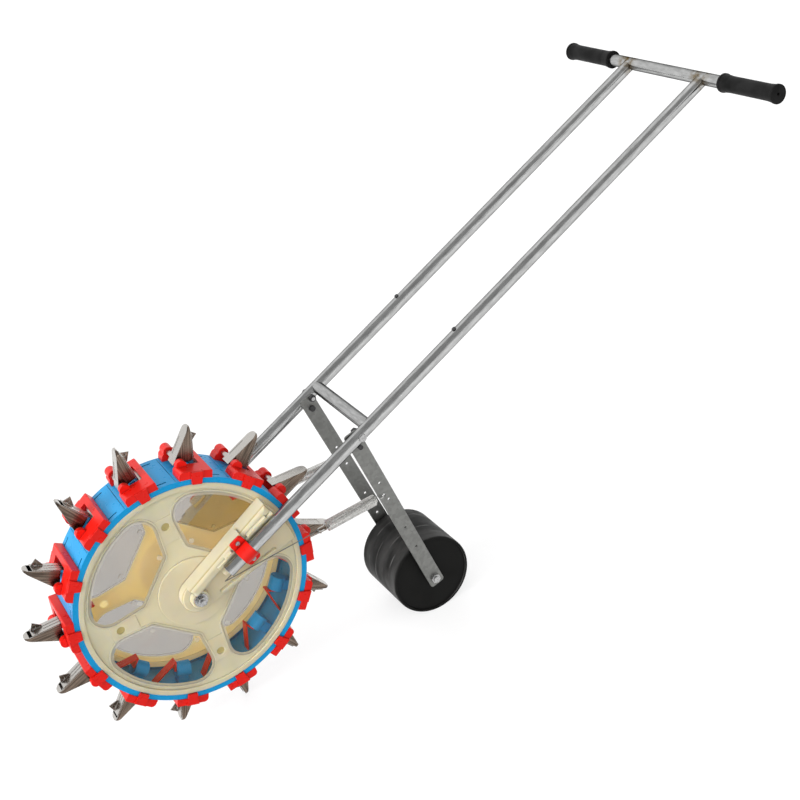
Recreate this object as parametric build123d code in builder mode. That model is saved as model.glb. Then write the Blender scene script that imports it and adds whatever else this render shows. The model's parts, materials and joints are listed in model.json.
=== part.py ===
from build123d import *
import math
import os

# A walk-behind seed planter: a drum wheel with duckbill beaks, a tube handle and a sprung press roller.
# Millimetres. +X points to the operator, -Y is the near side, +Z is up, and the floor is z = 0.

os.makedirs("parts", exist_ok=True)

# Clearances
fit_clearance = 0.05        # fixed pieces that slip together
running_clearance = 0.06    # pins and axles that turn in a bore
body_gap = 0.3              # pieces that move past each other

# Drum wheel
beak_count = 14
beak_phase = 94.7           # angle of the first beak above the rear horizontal, degrees
plate_radius = 219.0
plate_face = 60.0           # outer face of a side plate from the mid plane
ring_width = 10.0
ring_depth = 9.0
web_depth = 4.0             # the web lies this far below the plate's outer face
web_thickness = 3.0
hub_disc_radius = 70.0
hub_tube_radius = 15.0
axle_radius = 5.0

# Windows in the side plates
window_count = 4
spoke_lag = 3.4             # a spoke stands this far behind the first beak, degrees
window_inner = 81.0
window_inner_half = 52.0
window_outer_radius = 201.0
window_flare = 49.0         # slope of a window's sides, degrees
window_inner_round = 12.0
window_outer_round = 38.0
window_ledge = 4.0
window_lip = 3.0
window_lip_height = 1.5
cover_thickness = 2.0
cover_bead = 6.0
knuckle_size = 9.0
knuckle_height = 3.0
latch_angle = 21.0
latch_length = 13.0
latch_width = 2.4
recess_reach = 151.0
recess_radius = 8.0
recess_depth = 3.0
pad_inner = 116.0
pad_outer = 170.0
pad_width = 44.0
pad_height = 1.0

# Rim segments with their seed barrels
rim_radius = 230.0
rim_wall = 4.5
rim_half_width = 59.0
rim_flange = 4.0
seam_lead = 9.8             # a seam lies this far ahead of its beak, degrees
seam_gap = 0.1
seam_width = 0.8
seam_depth = 2.5
slot_length = 20.0
slot_width = 3.2
slot_depth = 3.0
slot_side = 46.0
slot_lag = 38.5
barrel_reach = 198.5
barrel_radius = 15.6
barrel_wall = 2.5
barrel_half = 14.0
neck_width = 20.0
neck_half = 12.5
chute_width = 11.0
chute_half = 9.0
tongue_top = 177.5
tongue_thickness = 3.0
tongue_half = 9.0
tongue_slope = 45.0
tongue_cheek = 20.0
tongue_gap = 0.2

# Beak seats
seat_top = 244.0
seat_front = 33.5
seat_back = -29.3
seat_opening_back = -16.2
seat_opening_near = 22.5
seat_opening_far = 37.0
seat_half_width = 60.5
seat_front_round = 8.0
seat_chamfer = 1.5
tab_front = 13.7
tab_back = -10.9
tab_foot_front = 9.7
tab_foot_back = -8.5
tab_top = 243.5
tab_foot = 219.6
tab_thickness = 5.0
boss_radius = 10.3
boss_width = 11.5           # the near boss; the far one runs out to the seat's side
pin_reach = 246.0
pin_lead = 21.0
pin_radius = 2.5
pin_hold = 9.5              # length of a pin in each boss

# Beaks
beak_half_width = 14.0
beak_wall = 1.7
beak_base = 240.0
beak_base_lead = 30.36
beak_heel = 246.5
beak_heel_lead = -8.0
beak_apex = 319.92
beak_apex_lead = -1.04
tip_round = 2.2
nose_round = 13.0
tip_solid = 16.0
barrel_boss_radius = 5.5
groove_half = 10.0
groove_depth = 0.7
groove_start = 255.0
fixed_gap = 0.5
fixed_reach = 298.0
foot_top = 237.0
foot_floor = 231.0
flag_side = 6.0             # the flag stands this far to the far side of the mid plane
flag_tip = 291.0
flag_tip_lead = -20.5
flag_foot = 275.0
flag_foot_lead = -10.0
dimple_reach = 289.5
dimple_lead = -10.3
dimple_radius = 3.6
dimple_depth = 1.0
ridge_half = 1.0
ridge_side = 4.5
ridge_height = 0.8

# Handle frame, measured from the axle along the tubes
tube_radius = 12.5
tube_wall = 1.5
tube_side = 116.4           # tube centre line from the mid plane
tube_lift = 14.0            # tube centre line above the axle
tube_start = 74.0
tube_joint = 709.0
handle_reach = 1382.0
bar_half = 323.0
sleeve_half = 55.0
joint_screw_back = 21.0
joint_screw_radius = 2.4
joint_screw_head = 4.2
joint_screw_head_height = 2.6
grip_start = 177.0
grip_end = 327.0
grip_radius = 16.0
grip_flange_radius = 18.5
grip_flange_width = 5.0
grip_flare_radius = 17.6
grip_flare = 18.0
grip_round = 0.8
grip_hole_radius = 3.0

# Arms that carry the axle
arm_gap = 3.0               # between a side plate and its arm
arm_depth = 21.0
arm_shell = 4.0
arm_hub_radius = 32.0
arm_end_radius = 212.0
arm_upper_edge = 48.0
arm_lower_edge = -66.0
arm_edge_round = 4.0
boss_height = 33.0
hub_boss_radius = 18.0
hub_boss_round = 3.0
rib_height = 17.0
rib_width = 23.0
rib_round = 8.0
cradle_start = 64.0
cradle_end = 206.0
cradle_half = 15.0
cradle_height = 23.0
rail_width = 6.0
rail_height = 26.0
rail_gap = 2.0
low_rail_start = 86.0
low_rail_end = 103.0
high_rail_start = 143.0
high_rail_end = 192.0
edge_rib_width = 6.0
edge_rib_length = 130.0
edge_rib_height = 7.0
pad_margin = 1.0

# Saddle clamps
clamp_start = 108.0
clamp_width = 28.0
clamp_wall = 4.7
clamp_ear = 6.0
clamp_half = 32.0
clamp_screw_half = 24.0
clamp_screw_radius = 2.4
clamp_screw_head = 4.6
clamp_screw_head_height = 3.0
clamp_screw_depth = 12.0
clamp_round = 6.0
cross_slot_length = 5.0
cross_slot_width = 1.0
cross_slot_depth = 1.2

# Axle hardware
washer_radius = 13.0
washer_thickness = 2.0
axle_nut_across = 17.0
axle_nut_height = 8.0
axle_tip = 4.0

# Roller hanger, in the same coordinates as the tubes
pivot_reach = 421.0
cross_setback = 24.0        # cross tube behind the pivot
pivot_radius = 4.0
pivot_head_radius = 8.0
pivot_head_height = 4.0
pivot_nut_across = 13.0
pivot_nut_height = 6.5
pivot_tip = 2.0
roller_reach = 335.4
roller_drop = 383.0
roller_radius = 85.0
roller_half = 72.0
roller_wall = 5.0
roller_edge_round = 3.0
end_disc_recess = 4.0
end_disc_thickness = 6.0
roller_axle_radius = 6.0
bar_width = 32.0
bar_thickness = 4.0
bar_pivot_inset = 10.0      # pivot behind the bar's centre line
bar_top = 6.5
bar_foot = 17.0
bar_flat = 28.0
bar_spread = 101.4          # bar's mid plane at the pivot
bar_pinch = 83.0            # bar's mid plane at the roller
bar_round = 6.0
spare_hole_radius = 3.0
spare_holes = (127.0, 172.0, 255.0, 311.0)
hook_hole_reach = 157.0
hook_hole_lead = 5.0
hook_hole_radius = 3.5
stop_radius = 5.0
stop_back = 14.0            # stop bolt in front of the pivot
stop_lift = -3.8
stop_outer = 122.0
stop_head_radius = 6.2
stop_head_height = 4.0
collar_radius = 10.0
roller_nut_across = 18.0
roller_nut_height = 7.0
roller_axle_tip = 3.0

# Tension springs and tie wires
spring_turns = 46
spring_pitch = 2.35
spring_radius = 10.6        # centre line of the coil
spring_wire = 0.9           # wire radius
inward_rise = 0.9
hook_radius = 6.5
hook_bend = 3.0
hook_rise = 5.2
hook_leg = 9.0
hook_tail = 4.0
tie_wire = 0.9              # wire radius
tie_gap = 0.2
tie_bend = 3.2
tie_tail = 12.0
tie_corner_reach = 56.0
tie_eye = 3.0
eye_lead = 11.0
straight_enough = 0.999999  # cosine between two directions taken as one
gap_steps = 6               # points on each arc when a wire's gaps are measured

# Stance: the lowest beak tip and the roller both touch the floor
beak_pitch = 360.0 / beak_count
front_slope = math.atan2(beak_base_lead - beak_apex_lead, beak_apex - beak_base)
rear_slope = math.atan2(beak_apex_lead - beak_heel_lead, beak_apex - beak_heel)
tip_half_angle = (front_slope + rear_slope) / 2
tip_lean = (rear_slope - front_slope) / 2
tip_back = tip_round / math.sin(tip_half_angle)
tip_centre_reach = beak_apex - tip_back * math.cos(tip_lean)
tip_centre_lead = beak_apex_lead - tip_back * math.sin(tip_lean)
tip_radius = math.hypot(tip_centre_reach, tip_centre_lead)
tip_angle = math.degrees(math.atan2(tip_centre_lead, tip_centre_reach))
tip_angles = [math.radians(beak_phase + tip_angle - i * beak_pitch) for i in range(beak_count)]
axle_height = max(-tip_radius * math.sin(a) for a in tip_angles) + tip_round
front_extent = max(-tip_radius * math.cos(a) for a in tip_angles) + tip_round
roller_span = math.hypot(roller_reach, roller_drop)
roller_lean = math.atan2(roller_reach, roller_drop)
handle_slope = math.acos((axle_height - roller_radius) / roller_span) - roller_lean
rear_extent = (handle_reach * math.cos(handle_slope) - tube_lift * math.sin(handle_slope)
               + grip_flange_radius)
axle_x = (front_extent - rear_extent) / 2

# Side-view planes: their own z points to the near side
axle_point = Vector(axle_x, 0, axle_height)
wheel = Plane(origin=axle_point, x_dir=(1, 0, 0), z_dir=(0, -1, 0))
handle = Plane(
    origin=axle_point,
    x_dir=(math.cos(handle_slope), 0, math.sin(handle_slope)),
    z_dir=(0, -1, 0),
)


def tube_section(reach, side=tube_side):
    """A plane square to the near tube, with x to the near side."""
    origin = handle.from_local_coords(Vector(reach, tube_lift, side))
    return Plane(origin=origin, x_dir=handle.z_dir, z_dir=handle.x_dir)


def tube_top(reach):
    """A plane through the near tube's centre line, looking up out of it."""
    origin = handle.from_local_coords(Vector(reach, tube_lift, tube_side))
    return Plane(origin=origin, x_dir=handle.x_dir, z_dir=handle.y_dir)


# Lower tubes, with holes for the pivot bolt and the joint screw
joint_screw_reach = tube_joint - joint_screw_back
with BuildPart() as lower_tube_near:
    with BuildSketch(tube_section(tube_start)):
        Circle(tube_radius)
        Circle(tube_radius - tube_wall, mode=Mode.SUBTRACT)
    extrude(amount=tube_joint - tube_start)
    with BuildSketch(handle.offset(tube_side)):
        with Locations((pivot_reach, tube_lift)):
            Circle(pivot_radius + fit_clearance)
    extrude(amount=2 * tube_radius, both=True, mode=Mode.SUBTRACT)
    with BuildSketch(tube_top(joint_screw_reach)):
        Circle(joint_screw_radius + fit_clearance)
    extrude(amount=2 * tube_radius, mode=Mode.SUBTRACT)
lower_tube_near.part.label = "lower_tube_near"
export_step(lower_tube_near.part, "parts/lower_tube_near.step")

with BuildPart() as lower_tube_far:
    mirror(lower_tube_near.part, about=Plane.XZ)
lower_tube_far.part.label = "lower_tube_far"
export_step(lower_tube_far.part, "parts/lower_tube_far.step")

# Upper tubes, coped onto the handlebar
with BuildPart() as upper_tube_near:
    with BuildSketch(tube_section(tube_joint)):
        Circle(tube_radius)
        Circle(tube_radius - tube_wall, mode=Mode.SUBTRACT)
    extrude(amount=handle_reach - tube_joint)
    with BuildSketch(handle.offset(tube_side)):
        with Locations((handle_reach, tube_lift)):
            Circle(tube_radius + fit_clearance)
    extrude(amount=2 * tube_radius, both=True, mode=Mode.SUBTRACT)
upper_tube_near.part.label = "upper_tube_near"
export_step(upper_tube_near.part, "parts/upper_tube_near.step")

with BuildPart() as upper_tube_far:
    mirror(upper_tube_near.part, about=Plane.XZ)
upper_tube_far.part.label = "upper_tube_far"
export_step(upper_tube_far.part, "parts/upper_tube_far.step")

# Sleeves inside the tube joints
with BuildPart() as tube_sleeves:
    with BuildSketch(tube_section(tube_joint - sleeve_half)):
        Circle(tube_radius - tube_wall - fit_clearance)
        Circle(tube_radius - 2 * tube_wall, mode=Mode.SUBTRACT)
    extrude(amount=2 * sleeve_half)
    with BuildSketch(tube_top(joint_screw_reach)):
        Circle(joint_screw_radius + fit_clearance)
    extrude(amount=2 * tube_radius, mode=Mode.SUBTRACT)
    mirror(about=Plane.XZ)
tube_sleeves.part.label = "tube_sleeves"
export_step(tube_sleeves.part, "parts/tube_sleeves.step")

# Black screws that lock the tube joints
with BuildPart() as tube_joint_screws:
    with BuildSketch(tube_top(joint_screw_reach).offset(tube_radius)):
        Circle(joint_screw_radius)
    extrude(amount=-3 * tube_wall)
    with BuildSketch(tube_top(joint_screw_reach).offset(tube_radius)):
        Circle(joint_screw_head)
    extrude(amount=joint_screw_head_height)
    mirror(about=Plane.XZ)
tube_joint_screws.part.label = "tube_joint_screws"
export_step(tube_joint_screws.part, "parts/tube_joint_screws.step")

# Cross tube between the two lower tubes
cross_reach = pivot_reach + cross_setback
with BuildPart() as cross_tube:
    with BuildSketch(handle):
        with Locations((cross_reach, tube_lift)):
            Circle(tube_radius)
            Circle(tube_radius - tube_wall, mode=Mode.SUBTRACT)
    extrude(amount=tube_side, both=True)
    for side in (-tube_side, tube_side):
        with BuildSketch(tube_section(cross_reach - 2 * tube_radius, side)):
            Circle(tube_radius + fit_clearance)
        extrude(amount=4 * tube_radius, mode=Mode.SUBTRACT)
cross_tube.part.label = "cross_tube"
export_step(cross_tube.part, "parts/cross_tube.step")

# Handlebar and grips
with BuildPart() as handlebar:
    with BuildSketch(handle):
        with Locations((handle_reach, tube_lift)):
            Circle(tube_radius)
            Circle(tube_radius - tube_wall, mode=Mode.SUBTRACT)
    extrude(amount=bar_half, both=True)
handlebar.part.label = "handlebar"
export_step(handlebar.part, "parts/handlebar.step")

grip_profile = Plane(
    origin=handle.from_local_coords(Vector(handle_reach, tube_lift, 0)),
    x_dir=handle.z_dir,
    z_dir=handle.x_dir,
)
with BuildPart() as grip_near:
    with BuildSketch(grip_profile):
        with BuildLine():
            Polyline(
                (grip_start, 0),
                (grip_start, grip_flange_radius),
                (grip_start + grip_flange_width, grip_flange_radius),
                (grip_start + grip_flange_width, grip_flare_radius),
                (grip_start + grip_flange_width + grip_flare, grip_radius),
                (grip_end - grip_flange_width - grip_flare, grip_radius),
                (grip_end - grip_flange_width, grip_flare_radius),
                (grip_end - grip_flange_width, grip_flange_radius),
                (grip_end, grip_flange_radius),
                (grip_end, 0),
                close=True,
            )
        make_face()
    revolve(axis=Axis(grip_profile.origin, handle.z_dir))
    fillet(grip_near.edges().filter_by(GeomType.CIRCLE).group_by(SortBy.RADIUS)[-1], grip_round)
    with BuildSketch(handle.offset(grip_start)):
        with Locations((handle_reach, tube_lift)):
            Circle(tube_radius + fit_clearance)
    extrude(amount=bar_half - grip_start + fit_clearance, mode=Mode.SUBTRACT)
    with BuildSketch(handle.offset(grip_start)):
        with Locations((handle_reach, tube_lift)):
            Circle(grip_hole_radius)
    extrude(amount=2 * (grip_end - grip_start), mode=Mode.SUBTRACT)
grip_near.part.label = "grip_near"
export_step(grip_near.part, "parts/grip_near.step")

with BuildPart() as grip_far:
    mirror(grip_near.part, about=Plane.XZ)
grip_far.part.label = "grip_far"
export_step(grip_far.part, "parts/grip_far.step")


# Arms: a fan from the axle boss to the rim, with a rounded rib and a cradle for the tube
def hub_tangent(x, y, turn):
    """The point where a line from (x, y) touches the arm's hub circle."""
    angle = math.atan2(y, x) + turn * math.acos(arm_hub_radius / math.hypot(x, y))
    return arm_hub_radius * math.cos(angle), arm_hub_radius * math.sin(angle)


arm_floor = plate_face + arm_gap
arm_top = arm_floor + arm_depth
arm_skin = arm_top - arm_shell
boss_face = arm_floor + boss_height
clamp_seat = tube_side - tube_radius + fit_clearance
clamp_middle = clamp_start + clamp_width / 2
rail_lift = tube_lift + tube_radius + rail_gap + rail_width / 2
upper_corner = (math.sqrt(arm_end_radius**2 - arm_upper_edge**2), arm_upper_edge)
lower_corner = (math.sqrt(arm_end_radius**2 - arm_lower_edge**2), arm_lower_edge)
upper_tangent = hub_tangent(*upper_corner, 1)
lower_tangent = hub_tangent(*lower_corner, -1)
lower_run = Vector(*lower_corner) - Vector(*lower_tangent)
lower_slope = math.degrees(math.atan2(lower_run.Y, lower_run.X))
edge_rib_middle = Vector(*lower_tangent) + lower_run / 2 + Vector(0, 2 * edge_rib_width)

with BuildSketch(Plane.XY) as arm_fan:
    with BuildLine():
        Line(upper_tangent, upper_corner)
        ThreePointArc(upper_corner, (arm_end_radius, 0), lower_corner)
        Line(lower_corner, lower_tangent)
        ThreePointArc(lower_tangent, (-arm_hub_radius, 0), upper_tangent)
    make_face()
arm_pocket = offset(arm_fan.sketch, amount=-arm_shell)

with BuildPart() as arm_rib:
    with BuildSketch(handle.offset(arm_skin)):
        with BuildLine():
            Polyline(
                upper_tangent,
                upper_corner,
                (upper_corner[0], upper_corner[1] - rib_width),
                (upper_tangent[0], upper_tangent[1] - rib_width),
                close=True,
            )
        make_face()
    extrude(amount=rib_height + arm_shell)
    fillet(arm_rib.faces().sort_by(Axis.Y)[0].edges(), rib_round)

with BuildPart() as arm_near:
    with BuildSketch(handle.offset(arm_floor)):
        add(arm_fan.sketch)
    extrude(amount=arm_depth)
    fillet(arm_near.faces().sort_by(Axis.Y)[0].edges(), arm_edge_round)
    with BuildSketch(handle.offset(arm_floor)):
        add(arm_pocket)
    extrude(amount=arm_depth - arm_shell, mode=Mode.SUBTRACT)
    # boss round the axle
    with BuildSketch(handle.offset(arm_floor)):
        Circle(hub_boss_radius)
    extrude(amount=boss_height)
    fillet(arm_near.faces().sort_by(Axis.Y)[0].edges(), hub_boss_round)
    # ribs along both edges
    add(arm_rib.part)
    with BuildSketch(handle.offset(arm_skin)):
        with Locations(Location((edge_rib_middle.X, edge_rib_middle.Y, 0), (0, 0, lower_slope))):
            SlotOverall(edge_rib_length, edge_rib_width)
    extrude(amount=edge_rib_height + arm_shell)
    # cradle under the tube, guide rails beside it and pads under the clamp's ears
    with BuildSketch(handle.offset(arm_skin)):
        with Locations(((cradle_start + cradle_end) / 2, tube_lift)):
            Rectangle(cradle_end - cradle_start, 2 * cradle_half)
    extrude(amount=cradle_height + arm_shell)
    with BuildSketch(handle.offset(arm_skin)):
        for start, end in ((low_rail_start, low_rail_end), (high_rail_start, high_rail_end)):
            with Locations(((start + end) / 2, rail_lift)):
                Rectangle(end - start, rail_width)
    extrude(amount=rail_height + arm_shell)
    with BuildSketch(handle.offset(arm_skin)):
        with Locations((clamp_middle, tube_lift)):
            Rectangle(clamp_width + 2 * pad_margin, 2 * clamp_half + 2 * pad_margin)
    extrude(amount=clamp_seat - arm_skin)
    # room for the clamp, the tube, the screws, the axle and its washer
    with BuildSketch(handle.offset(clamp_seat)):
        with Locations((clamp_middle, tube_lift)):
            Rectangle(clamp_width + 2 * pad_margin, 2 * clamp_half + 2 * pad_margin)
    extrude(amount=rail_height, mode=Mode.SUBTRACT)
    with BuildSketch(handle.offset(boss_face)):
        Circle(washer_radius + pad_margin)
    extrude(amount=rail_height, mode=Mode.SUBTRACT)
    with BuildSketch(tube_section(0)):
        Circle(tube_radius + fit_clearance)
    extrude(amount=2 * arm_end_radius, mode=Mode.SUBTRACT)
    with BuildSketch(handle.offset(clamp_seat)):
        with Locations((clamp_middle, tube_lift)):
            with GridLocations(0, 2 * clamp_screw_half, 1, 2):
                Circle(clamp_screw_radius + fit_clearance)
    extrude(amount=-clamp_screw_depth - fit_clearance, mode=Mode.SUBTRACT)
    with BuildSketch(handle):
        Circle(axle_radius + fit_clearance)
    extrude(amount=2 * tube_side, mode=Mode.SUBTRACT)
arm_near.part.label = "arm_near"
export_step(arm_near.part, "parts/arm_near.step")

with BuildPart() as arm_far:
    mirror(arm_near.part, about=Plane.XZ)
arm_far.part.label = "arm_far"
export_step(arm_far.part, "parts/arm_far.step")

# Saddle clamps over the tubes
seat_below_tube = clamp_seat - tube_side
with BuildPart() as clamp_near:
    with BuildSketch(tube_section(clamp_start)):
        Circle(tube_radius + clamp_wall)
        with Locations((seat_below_tube + clamp_ear / 2, 0)):
            Rectangle(clamp_ear, 2 * clamp_half)
        Circle(tube_radius + fit_clearance, mode=Mode.SUBTRACT)
        with Locations((seat_below_tube - clamp_half, 0)):
            Rectangle(2 * clamp_half, 4 * clamp_half, mode=Mode.SUBTRACT)
    extrude(amount=clamp_width)
    ear_ends = clamp_near.faces().filter_by(Axis((0, 0, 0), handle.y_dir))
    ear_ends = ear_ends.group_by(Axis((0, 0, 0), handle.y_dir))
    for ear_end in (ear_ends[0], ear_ends[-1]):
        fillet(ear_end.edges().filter_by(Axis.Y), clamp_round)
    with BuildSketch(handle.offset(clamp_seat)):
        with Locations((clamp_middle, tube_lift)):
            with GridLocations(0, 2 * clamp_screw_half, 1, 2):
                Circle(clamp_screw_radius + fit_clearance)
    extrude(amount=clamp_ear, mode=Mode.SUBTRACT)
clamp_near.part.label = "clamp_near"
export_step(clamp_near.part, "parts/clamp_near.step")

with BuildPart() as clamp_far:
    mirror(clamp_near.part, about=Plane.XZ)
clamp_far.part.label = "clamp_far"
export_step(clamp_far.part, "parts/clamp_far.step")

clamp_head_seat = clamp_seat + clamp_ear
with BuildPart() as clamp_screws:
    with BuildSketch(handle.offset(clamp_head_seat)):
        with Locations((clamp_middle, tube_lift)):
            with GridLocations(0, 2 * clamp_screw_half, 1, 2):
                Circle(clamp_screw_head)
    extrude(amount=clamp_screw_head_height)
    fillet(clamp_screws.faces().group_by(Axis.Y)[0].edges(), clamp_screw_head_height / 2)
    with BuildSketch(handle.offset(clamp_head_seat)):
        with Locations((clamp_middle, tube_lift)):
            with GridLocations(0, 2 * clamp_screw_half, 1, 2):
                Circle(clamp_screw_radius)
    extrude(amount=-clamp_screw_depth - clamp_ear)
    with BuildSketch(handle.offset(clamp_head_seat + clamp_screw_head_height)):
        with Locations((clamp_middle, tube_lift)):
            with GridLocations(0, 2 * clamp_screw_half, 1, 2):
                Rectangle(cross_slot_length, cross_slot_width)
                Rectangle(cross_slot_width, cross_slot_length)
    extrude(amount=-cross_slot_depth, mode=Mode.SUBTRACT)
    mirror(about=Plane.XZ)
clamp_screws.part.label = "clamp_screws"
export_step(clamp_screws.part, "parts/clamp_screws.step")

# Axle with its washers and nuts
nut_seat = boss_face + washer_thickness
axle_half = nut_seat + axle_nut_height + axle_tip
with BuildPart() as axle:
    with BuildSketch(wheel):
        Circle(axle_radius)
    extrude(amount=axle_half, both=True)
    chamfer(axle.edges().filter_by(GeomType.CIRCLE), axle_radius / 5)
axle.part.label = "axle"
export_step(axle.part, "parts/axle.step")

with BuildPart() as axle_washers:
    for washer_start, thickness in (
        (plate_face + body_gap, arm_gap - body_gap),
        (boss_face, washer_thickness),
    ):
        with BuildSketch(wheel.offset(washer_start)):
            Circle(washer_radius)
            Circle(axle_radius + fit_clearance, mode=Mode.SUBTRACT)
        extrude(amount=thickness)
    mirror(about=Plane.XZ)
axle_washers.part.label = "axle_washers"
export_step(axle_washers.part, "parts/axle_washers.step")

with BuildPart() as axle_nuts:
    with BuildSketch(wheel.offset(nut_seat)):
        RegularPolygon(axle_nut_across / 2, 6, major_radius=False)
        Circle(axle_radius + fit_clearance, mode=Mode.SUBTRACT)
    extrude(amount=axle_nut_height)
    mirror(about=Plane.XZ)
axle_nuts.part.label = "axle_nuts"
export_step(axle_nuts.part, "parts/axle_nuts.step")

# Drum: hub tube and side plates with four windows each
web_face = plate_face - web_depth
web_back = web_face - web_thickness
spoke_phase = beak_phase - spoke_lag
window_phase = spoke_phase + 180 / window_count
window_slope = math.radians(window_flare)
window_run = window_inner * math.cos(window_slope) + window_inner_half * math.sin(window_slope)
window_rest = window_outer_radius**2 - window_inner**2 - window_inner_half**2
window_side = math.sqrt(window_run**2 + window_rest) - window_run
window_outer = window_inner + window_side * math.cos(window_slope)
window_outer_half = window_inner_half + window_side * math.sin(window_slope)

with BuildSketch(Plane.XY) as window:
    with BuildLine():
        Line((window_inner, -window_inner_half), (window_inner, window_inner_half))
        Line((window_inner, window_inner_half), (window_outer, window_outer_half))
        ThreePointArc(
            (window_outer, window_outer_half),
            (window_outer_radius, 0),
            (window_outer, -window_outer_half),
        )
        Line((window_outer, -window_outer_half), (window_inner, -window_inner_half))
    make_face()
    fillet(window.vertices().group_by(Axis.X)[0], window_inner_round)
    fillet(window.vertices().group_by(Axis.X)[-1], window_outer_round)
window_hole = offset(window.sketch, amount=-window_ledge)
window_frame = offset(window.sketch, amount=window_lip)
cover_outline = offset(window.sketch, amount=-fit_clearance)
cover_field = offset(window.sketch, amount=-fit_clearance - cover_bead)

with BuildPart() as hub_tube:
    with BuildSketch(wheel):
        Circle(hub_tube_radius)
        Circle(axle_radius + running_clearance, mode=Mode.SUBTRACT)
    extrude(amount=web_back, both=True)
hub_tube.part.label = "hub_tube"
export_step(hub_tube.part, "parts/hub_tube.step")

with BuildPart() as side_plate_near:
    with BuildSketch(wheel.offset(web_back)):
        Circle(plate_radius)
    extrude(amount=web_thickness)
    with BuildSketch(wheel.offset(plate_face - ring_depth)):
        Circle(plate_radius)
        Circle(plate_radius - ring_width, mode=Mode.SUBTRACT)
    extrude(amount=ring_depth)
    with BuildSketch(wheel.offset(web_back)):
        Circle(hub_disc_radius)
    extrude(amount=plate_face - web_back)
    # pads across the spokes
    with BuildSketch(wheel.offset(web_face)):
        with PolarLocations((pad_inner + pad_outer) / 2, window_count, start_angle=spoke_phase):
            Rectangle(pad_outer - pad_inner, pad_width)
    extrude(amount=pad_height)
    # raised lips, the rebates for the covers and the holes behind them
    with BuildSketch(wheel.offset(web_face)):
        with PolarLocations(0, window_count, start_angle=window_phase):
            add(window_frame)
    extrude(amount=window_lip_height)
    with BuildSketch(wheel.offset(web_face - cover_thickness)):
        with PolarLocations(0, window_count, start_angle=window_phase):
            add(window.sketch)
    extrude(amount=web_depth + cover_thickness, mode=Mode.SUBTRACT)
    with BuildSketch(wheel.offset(web_back)):
        with PolarLocations(0, window_count, start_angle=window_phase):
            add(window_hole)
    extrude(amount=web_thickness, mode=Mode.SUBTRACT)
    # latch slots at the outer edge of each window
    latch_phases = (window_phase - latch_angle, window_phase + latch_angle)
    with BuildSketch(wheel.offset(web_face)):
        for latch_phase in latch_phases:
            with PolarLocations(window_outer_radius + window_lip, window_count, start_angle=latch_phase):
                Rectangle(latch_width, latch_length)
    extrude(amount=window_lip_height, mode=Mode.SUBTRACT)
    # round recesses on the spokes
    with BuildSketch(wheel.offset(web_face + pad_height)):
        with PolarLocations(recess_reach, window_count, start_angle=spoke_phase):
            Circle(recess_radius)
    extrude(amount=-recess_depth, mode=Mode.SUBTRACT)
    with BuildSketch(wheel):
        Circle(axle_radius + running_clearance)
    extrude(amount=2 * plate_face, mode=Mode.SUBTRACT)
side_plate_near.part.label = "side_plate_near"
export_step(side_plate_near.part, "parts/side_plate_near.step")

with BuildPart() as side_plate_far:
    mirror(side_plate_near.part, about=Plane.XZ)
side_plate_far.part.label = "side_plate_far"
export_step(side_plate_far.part, "parts/side_plate_far.step")

# Clear snap-in window covers with a bead and two knuckles each
with BuildPart() as window_covers_near:
    with BuildSketch(wheel.offset(web_face - cover_thickness)):
        with PolarLocations(0, window_count, start_angle=window_phase):
            add(cover_outline)
    extrude(amount=cover_thickness)
    with BuildSketch(wheel.offset(web_face)):
        with PolarLocations(0, window_count, start_angle=window_phase):
            add(cover_outline)
            add(cover_field, mode=Mode.SUBTRACT)
    extrude(amount=window_lip_height)
    knuckle_reach = window_inner + window_ledge + knuckle_size
    knuckle_side = window_inner_half - knuckle_size / 2
    with BuildSketch(wheel.offset(web_face)):
        with PolarLocations(0, window_count, start_angle=window_phase):
            with Locations((knuckle_reach, -knuckle_side), (knuckle_reach, knuckle_side)):
                RectangleRounded(knuckle_size, knuckle_size, knuckle_size / 4)
    extrude(amount=knuckle_height)
window_covers_near.part.label = "window_covers_near"
export_step(window_covers_near.part, "parts/window_covers_near.step")

with BuildPart() as window_covers_far:
    mirror(window_covers_near.part, about=Plane.XZ)
window_covers_far.part.label = "window_covers_far"
export_step(window_covers_far.part, "parts/window_covers_far.step")

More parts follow.
